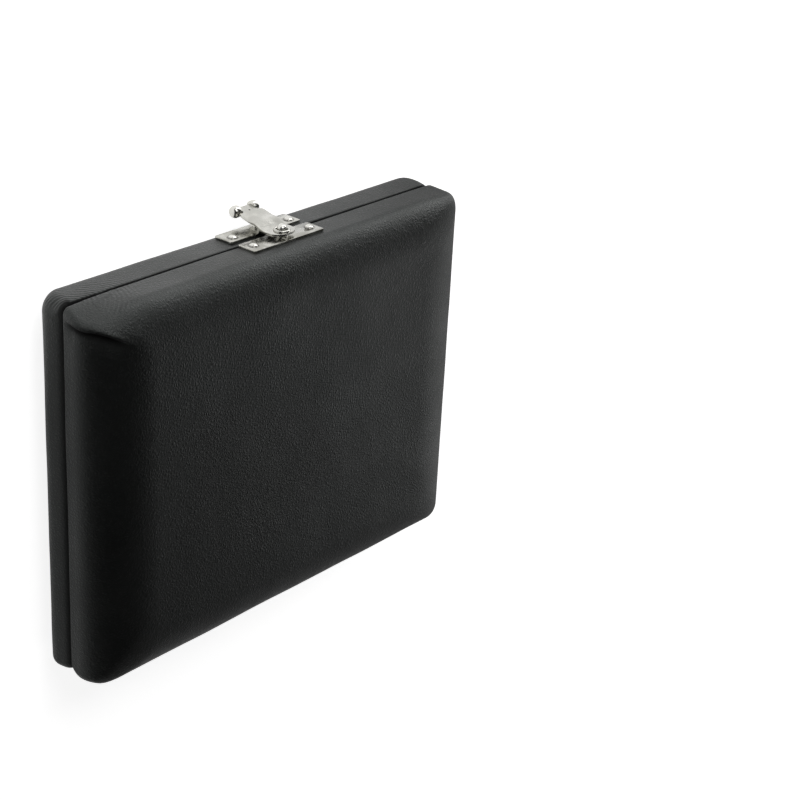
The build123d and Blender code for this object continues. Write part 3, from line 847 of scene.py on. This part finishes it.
def fillCushion(piece, back):
    # the cover is blown up as cloth, with its back held flat on the lid
    form = cushionForm
    holder = piece.vertex_groups.new(name="back")
    held = [vert.index for vert in piece.data.vertices if vert.co.z > back - form["voxel"] * mm]
    holder.add(held, 1.0, "REPLACE")
    cloth = piece.modifiers.new("cloth", "CLOTH")
    cloth.settings.vertex_group_mass = holder.name
    cloth.settings.use_pressure = True
    cloth.settings.uniform_pressure_force = form["pressure"]
    cloth.settings.effector_weights.gravity = 0.0
    cloth.point_cache.frame_start, cloth.point_cache.frame_end = 1, form["frames"]
    flat = [vert.co.copy() for vert in piece.data.vertices]
    for step in range(1, form["frames"] + 1):
        bpy.context.scene.frame_set(step)
    applyModifiers(piece)
    bpy.context.scene.frame_set(1)
    piece.vertex_groups.clear()
    cap = form["cap"] * mm * form["grow"]
    for vert, start in zip(piece.data.vertices, flat):
        move = vert.co - start
        if move.length > 0:
            vert.co = start + move.normalized() * cap * (1 - math.exp(-move.length / cap))


def cushionPiece():
    form = cushionForm
    low, high = nodeBox("lid_cushion")
    face, grow = low.z + form["inset"], form["grow"]
    half, wide = high.x - form["inset"], high.y - form["inset"]
    edge, seamZ = (high.z - face) / 2, (face + high.z) / 2
    rings = [plainRing(z, half - inset, wide - inset, form["corner"] - inset)
             for inset, z in arc((edge, seamZ), edge, 270, 90, form["edgeSteps"])]
    piece = makePiece(ringTray(rings, form["cell"]), "lidCushionPad", finishes["plush"], 60.0)
    piece.data.transform(Matrix.Scale(grow, 4))
    remesh = piece.modifiers.new("remesh", "REMESH")
    remesh.mode, remesh.voxel_size = "VOXEL", form["voxel"] * mm * grow
    applyModifiers(piece)
    fillCushion(piece, high.z * mm * grow)
    piece.data.transform(Matrix.Scale(1 / grow, 4))
    # the seam of the cover runs round the middle of the edge
    for vert in piece.data.vertices:
        x, y, z = vert.co / mm
        depth = form["seamDepth"] * bell(z, seamZ, form["seamWidth"])
        if abs(x) > half - form["seamReach"]:
            vert.co.x -= math.copysign(depth * mm, x)
        if abs(y) > wide - form["seamReach"]:
            vert.co.y -= math.copysign(depth * mm, y)
    smooth = piece.modifiers.new("smooth", "SUBSURF")
    smooth.levels = smooth.render_levels = 1
    shade(piece.data, 60.0)
    return standFor(piece, "lid", "lid_cushion")


cushionPiece()
print("plush ready")


# Rail and pegs

railForm = {"edge": 0.5, "frontEdge": 1.5, "backCorner": 2.0, "bore": 2.35, "mouth": 0.35, "clear": 0.05}
pegForm = {"tip": 0.85, "slim": 0.93, "fullAt": 0.6, "foot": 0.2}  # shares of the radius and the length; mm
pegPlaces = [(name, *nodeBox(name)) for name in sorted(frame["nodes"]) if name.startswith("reed_peg")]


def railPiece():
    form = railForm
    low, high = nodeBox("peg_rail")
    centre = (low + high) / 2
    bm = block(centre, high - low)

    def edgesAt(chosen):
        return [edge for edge in bm.edges if chosen((edge.verts[0].co + edge.verts[1].co) / 2)]

    back = edgesAt(lambda middle: middle.y > high.y - 0.1 and abs(middle.z - centre.z) < 0.1)
    roundOff(bm, back, form["backCorner"], 6)
    front = edgesAt(lambda middle: middle.y < low.y + 0.01 and middle.z > high.z - 0.01)
    roundOff(bm, front, form["frontEdge"], 6)
    roundSharp(bm, form["edge"], 3, 50)
    rail = makePiece(bm, "pegRail", finishes["black_wood"])
    bores = []
    for name, pegLow, pegHigh in pegPlaces:
        middle = (pegLow + pegHigh) / 2
        depth = pegHigh.y - low.y + form["clear"]
        bore, mouth = form["bore"], form["bore"] + form["mouth"]
        shape = turned([(0, 0), (bore, 0), (bore, depth - form["mouth"]), (mouth, depth), (mouth, depth + 1),
                        (0, depth + 1)], 32)
        seat = Matrix.Translation((middle.x, low.y + depth, middle.z))
        bores.append(place(shape, seat @ rotated(90, "X")))
    combine(rail, bores, "DIFFERENCE")
    return standFor(rail, "base", "peg_rail")


def pegPiece(name, low, high):
    # turned peg: round tip, slightly fuller middle, square foot in the rail
    form = pegForm
    radius, length = (high.x - low.x) / 2, high.y - low.y
    tip, slim, foot = form["tip"] * radius, form["slim"] * radius, form["foot"]
    profile = [(0.0, 0.0)] + arc((slim - tip, tip), tip, -90, 0, 10)
    profile += [(lerp(slim, radius, share), lerp(tip, length * form["fullAt"], share))
                for share in [step / 8 for step in range(1, 9)]]
    profile += [(radius, length - foot), (radius - foot, length), (0.0, length)]
    middle = (low + high) / 2
    bm = place(turned(profile, 40), Matrix.Translation((middle.x, low.y, middle.z)) @ alongY)
    return standFor(makePiece(bm, f"reedPeg{name[-2:]}", finishes["beech"]), "base", name)


railPiece()
for peg in pegPlaces:
    pegPiece(*peg)
print("rail and pegs ready")


# Latch

latchForm = {
    "plate": 0.7, "plateCorner": 0.5, "plateEdge": 0.16,
    "nailInset": 2.4, "nailHead": 1.25, "nailDome": 0.7, "nailShank": 0.5, "nailLength": 4.3,
    "earThickness": 0.6, "earRadius": 1.0, "earSpread": 5.4, "earRoot": 0.4, "earEdge": 0.12,
    "sheet": 0.56, "width": 8.0, "neck": 4.2, "tongue": 8.6, "arm": 7.1, "shoulder": 5.4, "taper": 0.7,
    "tongueHeight": 2.0, "armHeight": 3.45, "armRise": 1.2, "roll": 1.0,
    "tipRound": 0.37, "shoulderRound": 0.4, "dish": 0.28, "sheetEdge": 0.10,
    "knuckle": 1.25, "knuckleLength": 1.3, "knuckleEdge": 0.1, "web": 1.1,
    "hole": 1.55, "holeFlare": 0.14, "mark": 0.25,
    "collarWidth": 0.6, "collarHeight": 0.5, "collarEdge": 0.3,
    "ball": 1.2, "ballNeck": 0.7, "flange": 1.5, "flangeHeight": 0.3, "studLength": 3.5,
    "pin": 0.5, "pinHead": 0.95, "pinDome": 0.5, "pinRound": 0.45,
    "barCore": 0.5, "knobGrowth": 1.2, "knobRound": 1.0,
}
pivotHeight = faceY - pivotPlace.y
catchLow, catchHigh = nodeBox("catch_plate")
studZ = (catchLow.z + catchHigh.z) / 2


def tab(width, depth, corner, thickness, edge, segments=6):
    # flat plate in XY, raised along Z, with round corners and softened edges
    bm = bmesh.new()
    bmesh.ops.create_grid(bm, x_segments=1, y_segments=1, size=0.5)
    bmesh.ops.scale(bm, vec=(width, depth, 1), verts=bm.verts[:])
    roundOff(bm, bm.verts[:], corner, segments, "VERTICES")
    made = bmesh.ops.extrude_face_region(bm, geom=bm.faces[:])["geom"]
    bmesh.ops.translate(bm, vec=(0, 0, thickness), verts=partsOf(made, bmesh.types.BMVert))
    closeHoles(bm)
    roundSharp(rightNormals(bm), edge, 2, 60)
    return bm


def platePiece(node, name):
    form = latchForm
    low, high = nodeBox(node)
    bm = tab(high.x - low.x, high.z - low.z, form["plateCorner"], form["plate"], form["plateEdge"])
    return makePiece(place(bm, onLatchWall(0, (low.z + high.z) / 2, 0)), name, dullNickel)


def latchPlatePiece():
    # the plate and the two ears that hold the pin
    form = latchForm
    plate = platePiece("latch_plate", "latchPlate")
    radius, thick, root = form["earRadius"], form["earThickness"], form["earRoot"]
    length = pivotHeight + radius
    upright = rotated(90, "Y") @ rotated(90, "Z")
    ears = []
    for side in (-1, 1):
        ear = place(tab(2 * radius, length + root, radius * 0.98, thick, form["earEdge"], 10), upright)
        centre = sum((vert.co for vert in ear.verts), Vector()) / len(ear.verts)
        x = latchX + side * (form["earSpread"] + thick) / 2
        target = Vector((x, faceY - (length - root) / 2, pivotPlace.z))
        ears.append(place(ear, Matrix.Translation(target - centre)))
    combine(plate, ears, "UNION")
    return standFor(plate, "base", "latch_plate")


def nailPair(plateNode, name, body):
    # two domed nails
    form = latchForm
    low, high = nodeBox(plateNode)
    z = sum(corner.z for corner in nodeBox(f"{plateNode}_nails")) / 2
    head, dome, shank, length = (form[f"nail{part}"] for part in ("Head", "Dome", "Shank", "Length"))
    crown = (dome * dome + head * head) / (2 * dome)
    opening = math.degrees(math.asin(head / crown))
    profile = arc((0.0, dome - crown), crown, 90, 90 - opening, 8)
    profile += [(head - 0.03, -0.06), (shank, -0.06), (shank, 0.5 - length), (0.0, -length)]
    bm = bmesh.new()
    for x in (low.x + form["nailInset"], high.x - form["nailInset"]):
        nail = place(turned(profile, 32), onLatchWall(x - latchX, z, form["plate"]))
        mesh = toMesh(nail, "nail")
        bm.from_mesh(mesh)
        bpy.data.meshes.remove(mesh)
    return standFor(makePiece(bm, name, nailNickel), body, f"{plateNode}_nails")


def studPiece():
    form = latchForm
    neck, ball, flange, plate = form["ballNeck"], form["ball"], form["flange"], form["plate"]
    flangeTop, depth = plate + form["flangeHeight"], form["studLength"]
    ballHeight = form["tongueHeight"] + 0.3 + form["collarHeight"]
    meet = math.degrees(math.asin(neck / ball))
    profile = [(0, -depth), (neck - 0.15, -depth), (neck, 0.3 - depth), (neck, plate), (flange, plate)]
    profile += [(flange, flangeTop - 0.1), (flange - 0.1, flangeTop), (neck + 0.15, flangeTop)]
    profile += [(neck, flangeTop + 0.15)]
    profile += arc((0.0, ballHeight), ball, meet - 90, 90, 14)
    bm = place(turned(profile, 40), onLatchWall(0, studZ, 0))
    return standFor(makePiece(bm, "catchStud", polishedNickel), "lid", "catch_stud")


def knobbedRod(core, head, innerHalf, headLength, rounding):
    # half-section along Z of a rod with a rounded knob at each end
    outer = innerHalf + headLength
    knob = [(core, innerHalf), (head - 0.35 * rounding, innerHalf),
            (head - 0.1 * rounding, innerHalf + 0.1 * rounding), (head, innerHalf + 0.35 * rounding)]
    knob += arc((head - rounding, outer - rounding), rounding, 0, 90, 9) + [(0.0, outer)]
    return [(radius, -height) for radius, height in reversed(knob)] + knob


def pressBarPiece():
    form = latchForm
    low, high = nodeBox("press_bar")
    middle, radius = (low + high) / 2, (high.z - low.z) / 2
    inner, knob = form["neck"] / 2 + 0.1, form["knobGrowth"] * radius
    rod = knobbedRod(form["barCore"], knob, inner, high.x - middle.x - inner, form["knobRound"])
    # the larger knobs stand out by as much as they grow, to clear the leather with the arm pushed in
    pushed = math.radians(joints["lever_pivot"]["range_deg"][1])
    outward = Vector((0, -math.cos(pushed), math.sin(pushed)))
    middle += outward * (knob - radius)
    bm = place(turned(rod, 40), Matrix.Translation(middle) @ alongX)
    return standFor(makePiece(bm, "pressBar", polishedNickel), "lever", "press_bar")


def latchPinPiece():
    form = latchForm
    inner = form["earSpread"] / 2 + form["earThickness"] + 0.05
    rod = knobbedRod(form["pin"], form["pinHead"], inner, form["pinDome"], form["pinRound"])
    bm = place(turned(rod, 32), Matrix.Translation(pivotPlace) @ alongX)
    return standFor(makePiece(bm, "latchPin", polishedNickel), "base", "latch_pin")


def leverPath():
    # middle line of the bent sheet as (along, height) points, from the tongue's tip to the end of the curl
    form = latchForm
    arm, armHeight, half = form["arm"], form["armHeight"], form["sheet"] / 2
    points = [(form["tongue"], form["tongueHeight"])]
    for step in range(15):
        share = step / 14
        rise = lerp(share, smoothStep(0, 1, share), 0.6)
        points.append((lerp(4.0, 0.3, share), lerp(form["tongueHeight"], armHeight, rise)))
    for step in range(1, 13):
        share = step / 12
        points.append((lerp(-0.4, -arm, share), armHeight + form["armRise"] * share ** 1.35))
    barHeight = armHeight + form["armRise"] - form["roll"] + half
    return points + arc((-arm, barHeight), form["roll"] - half, 104, 392, 24)


def leverSheet():
    # the sheet is cut flat, folded along its path and thickened
    form = latchForm
    path = leverPath()
    lengths = [0.0]
    for first, second in zip(path, path[1:]):
        lengths.append(lengths[-1] + math.dist(first, second))
    total, taper = lengths[-1], form["taper"]

    def walk(distance):
        later = (number for number in range(1, len(path)) if distance <= lengths[number])
        index = next(later, len(path) - 1)
        share = (distance - lengths[index - 1]) / (lengths[index] - lengths[index - 1])
        return [lerp(a, b, share) for a, b in zip(path[index - 1], path[index])]

    shoulderAt = next(length for length, point in zip(lengths, path) if point[0] < 1.2 - form["shoulder"])
    half, neck = form["width"] / 2, form["neck"] / 2
    right = [(half, 0.0), (half, shoulderAt), (neck, shoulderAt + taper), (neck, total)]
    left = [(-x, y) for x, y in right]
    bm = bmesh.new()
    verts = [bm.verts.new((x, y, 0)) for x, y in left[:1] + right + left[:0:-1]]
    bm.faces.new(verts)
    roundOff(bm, verts[0:2], form["tipRound"] * form["width"], 14, "VERTICES")
    shoulders = [vert for vert in bm.verts
                 if min(abs(vert.co.y - shoulderAt), abs(vert.co.y - shoulderAt - taper)) < 0.01]
    roundOff(bm, shoulders, form["shoulderRound"], 5, "VERTICES")
    cuts = [((0, total * step / 90, 0), (0, 1, 0)) for step in range(1, 90)]
    cuts += [((step / 2, 0, 0), (1, 0, 0)) for step in range(-7, 8)]
    for spot, normal in cuts:
        bmesh.ops.bisect_plane(bm, geom=bm.verts[:] + bm.edges[:] + bm.faces[:], dist=0.0001,
                               plane_co=spot, plane_no=normal)
    for vert in bm.verts:
        x, distance = vert.co.x, vert.co.y
        along, height = walk(distance)
        dish = form["dish"] * smoothStep(0.0, 4.0, distance - 4.0) * (1 - smoothStep(9.0, 15.0, distance))
        vert.co = (x, along, height - dish * (x / half) ** 2)
    rightNormals(bm)
    if sum(face.normal.z for face in bm.faces if face.calc_center_median().y > 4.5) < 0:
        bmesh.ops.reverse_faces(bm, faces=bm.faces[:])
    for vert in bm.verts:
        vert.co += vert.normal * (form["sheet"] / 2)
    bmesh.ops.solidify(bm, geom=bm.faces[:], thickness=form["sheet"])
    roundSharp(rightNormals(bm), form["sheetEdge"], 2, 60)
    return place(bm, onLatchWall(0, pivotPlace.z, 0))


def leverPiece():
    # knuckles, their webs and the collar are joined to the sheet, then the hole and a small mark are cut
    form = latchForm
    lever = makePiece(leverSheet(), "latchLever", finishes["nickel"], 40.0)
    armHeight, length = form["armHeight"], form["knuckleLength"]
    knuckle, edge = form["knuckle"], form["knuckleEdge"]
    profile = [(0, 0), (knuckle - edge, 0), (knuckle, edge)]
    profile += [(radius, length - height) for radius, height in reversed(profile)]
    joined = []
    for side in (-1, 1):
        x = latchX + side * (form["earSpread"] / 2 - 0.1) - (length if side > 0 else 0)
        joined.append(place(turned(profile, 36), Matrix.Translation((x, *pivotPlace.yz)) @ alongX))
        joined.append(block((x + length / 2, faceY - (pivotHeight + armHeight) / 2, pivotPlace.z),
                            (length - 0.1, armHeight - pivotHeight, form["web"])))
    hole, flare, outer = form["hole"], form["hole"] + form["holeFlare"], form["hole"] + form["collarWidth"]
    foot, edge = form["tongueHeight"], form["collarEdge"]
    top = foot + form["sheet"] / 2 + form["collarHeight"]
    collar = [(0, foot), (outer, foot)] + arc((outer - edge, top - edge), edge, 0, 90, 3) + [(0, top)]
    joined.append(place(turned(collar, 48), onLatchWall(0, studZ, 0)))
    combine(lever, joined, "UNION", 40.0)
    bore = [(0, 0.5), (hole, 0.5), (hole, top - 0.12), (flare, top + 0.02), (flare, top + 1), (0, top + 1)]
    mark = [(0, 0), (form["mark"], 0), (form["mark"], 3), (0, 3)]
    markPlace = onLatchWall(0, pivotPlace.z - form["arm"] + 2 * form["roll"], armHeight)
    cuts = [place(turned(bore, 48), onLatchWall(0, studZ, 0)), place(turned(mark, 20), markPlace)]
    combine(lever, cuts, "DIFFERENCE", 40.0)
    return standFor(lever, "lever", "latch_lever")


springForm = {
    "wire": 0.18, "coil": 0.82, "turns": 2.5, "pitch": 0.8, "sides": 12, "turnSteps": 28,
    "leg": 3.2, "lean": (0.3, -0.2), "reach": 0.6,
}


def springPiece():
    # the coil is one ring of the wire spun along the pin; its legs are drawn out of its two ends
    form = springForm
    width, steps = form["turns"] * form["pitch"], round(form["turnSteps"] * form["turns"])
    bm = bmesh.new()
    bmesh.ops.create_circle(bm, cap_ends=False, segments=form["sides"], radius=form["wire"])
    # the wire starts between the pin and the plate, and the pivot is the middle of its coil
    place(bm, Matrix.Translation((latchX - width / 2, pivotPlace.y + form["coil"], pivotPlace.z)))
    first = list(bm.edges)
    made = bmesh.ops.spin(bm, geom=first + bm.verts[:], cent=pivotPlace, axis=(1, 0, 0), steps=steps,
                          angle=math.tau * form["turns"], dvec=(width / steps, 0, 0), use_duplicate=False)
    last = partsOf(made["geom_last"], bmesh.types.BMEdge)
    for edges, lean in zip((first, last), form["lean"]):
        for step in range(2):
            fresh, edges = extrudeRing(bm, edges)
            bmesh.ops.translate(bm, vec=(0, lean / 2, -form["leg"] / 2), verts=fresh)
        bmesh.ops.edgeloop_fill(bm, edges=edges)
    spring = makePiece(bm, "latchSpring", finishes["spring_steel"])
    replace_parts(spring, "latch_spring")
    start, end = (Vector((latchX + side * form["reach"], *pivotPlace.yz)) * mm for side in (-1, 1))
    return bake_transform(spring, "base", "lever", start=start, end=end)


standFor(platePiece("catch_plate", "catchPlate"), "lid", "catch_plate")
latchPlatePiece()
nailPair("latch_plate", "latchPlateNails", "base")
nailPair("catch_plate", "catchPlateNails", "lid")
studPiece()
pressBarPiece()
latchPinPiece()
leverPiece()
springPiece()
print("latch ready")

# Pieces that keep their CAD shape take the finish of their slot

slots = {row["node"]: row["material_slot"] for row in frame["record"]["subparts"]}
for nodeName, node in frame["nodes"].items():
    if not node.hide_render:
        node.data.materials.clear()
        node.data.materials.append(finishes[slots[nodeName]])
        node.data.polygons.foreach_set("material_index", [0] * len(node.data.polygons))

# Floor, world, lights and camera

stageForm = {
    "floor": 9.0, "floorColour": 0.8, "floorGlow": 0.85, "whiteFrom": (0.35, 0.9),
    # where the floor glows for glossy rays: a painted reflection in the leather and metal
    "glowPatchAcross": (-0.085, -0.02, 0.3, 1.0), "glowPatchAlong": (-0.055, -0.02, 1.0, 0.38),
    "skyLow": 0.8, "skyHigh": 0.03, "skyBehind": 0.5, "skyEnd": 0.12, "behind": (-0.15, 0.99, 0.0),
}
softboxes = {  # place, aim, width, height and how bright the face is
    "latchSoftbox": ((0.25, -0.75, 0.55), (0.0, -0.02, 0.01), 0.5, 0.5, 2.4),
    "sideSoftbox": ((-0.42, -0.46, 0.115), (0.0, -0.06, 0.0), 0.9, 0.21, 3.4),
    "floorSoftbox": ((0.03, -0.26, 0.26), (0.03, -0.22, 0.0), 0.34, 0.2, 1.5),
    "backSoftbox": ((-0.42, 0.16, 0.22), (0.0, 0.0, 0.02), 0.18, 0.30, 1.3),
}
cameraForm = {
    # measured from the outline and the seam in the photograph; the picture's up is mostly the latch side
    "lens": 85.65, "place": (0.316874, -0.218021, 0.322891),
    "right": (-0.65723, -0.05227, 0.75188), "up": (-0.29396, -0.90081, -0.31958),
}


def paleFloor():
    form = stageForm
    finish = finishNamed("paleFloor")
    pale = finish.node("BsdfDiffuse", {}, {"Color": solid([form["floorColour"]] * 3)})
    spot = finish.node("TexCoord", output=3)
    across, along, up = finish.split(spot)
    # painted reflection: for glossy rays only, the floor glows brightest before the latch wall and less round the
    # case, which sets the leather's reflections
    reflectedGlowPatch = finish.range(across, *form["glowPatchAcross"]) * finish.range(along, *form["glowPatchAlong"])
    camera, glossy, through = (finish.node("LightPath", output=kind) for kind in (0, 3, 6))
    away = finish.node("VectorMath", {"operation": "LENGTH"}, {0: spot}, output=1)
    seen = camera * finish.range(away, *form["whiteFrom"], form["floorGlow"], 1.0)
    seen = seen + (glossy * reflectedGlowPatch + through) * form["floorGlow"]
    glow = finish.node("Emission", {}, {"Strength": seen})
    return finish.show(finish.node("AddShader", {}, {0: pale, 1: glow}))


def floorPiece():
    bm = bmesh.new()
    bmesh.ops.create_grid(bm, x_segments=1, y_segments=1, size=stageForm["floor"])
    mesh = toMesh(bm, "floor")
    mesh.materials.append(paleFloor())
    addToScene("floor", mesh)


def worldLight():
    # soft light from all round, white at the horizon and darker overhead, behind and past the end
    form = stageForm
    world = bpy.data.worlds.new("studio")
    bpy.context.scene.world = world
    finish = Finish(world)
    direction = finish.node("TexCoord")
    toEnd, toSpine, height = finish.split(direction)
    away = finish.node("VectorMath", {"operation": "DOT_PRODUCT"}, {
        0: direction, 1: form["behind"],
    }, output=1)
    level = finish.range(height, 0.15, 0.52, form["skyLow"], form["skyHigh"])
    level = level * finish.range(away, 0.0, 0.45, 1.0, form["skyBehind"])
    level = level * finish.range(toEnd, 0.45, 0.85, 1.0, form["skyEnd"])
    camera = finish.node("LightPath")
    sky = finish.node("Background", {}, {
        "Color": solid((1.0, 1.0, 1.0)), "Strength": camera + (1.0 - camera) * level,
    })
    finish.node("OutputWorld", {}, {"Surface": sky})


def softbox(name, spot, aim, width, height, radiance):
    lamp = bpy.data.lights.new(name, "AREA")
    lamp.shape, lamp.size, lamp.size_y = "RECTANGLE", width, height
    lamp.energy = radiance * math.pi * width * height
    holder = addToScene(name, lamp)
    holder.location = spot
    holder.rotation_mode = "QUATERNION"
    holder.rotation_quaternion = (Vector(aim) - Vector(spot)).to_track_quat("-Z", "Y")


def makeCamera():
    form = cameraForm
    lens = bpy.data.cameras.new("camera")
    lens.lens, lens.sensor_width = form["lens"], 36.0
    lens.clip_start, lens.clip_end = 0.01, 20.0
    right, up = Vector(form["right"]), Vector(form["up"])
    turn = Matrix((right, up, right.cross(up))).transposed().to_4x4()
    holder = addToScene("camera", lens)
    holder.matrix_world = Matrix.Translation(form["place"]) @ turn
    bpy.context.scene.camera = holder


floorPiece()
worldLight()
for name, values in softboxes.items():
    softbox(name, *values)
makeCamera()
bpy.context.scene.view_settings.view_transform = "Standard"
print("stage ready")
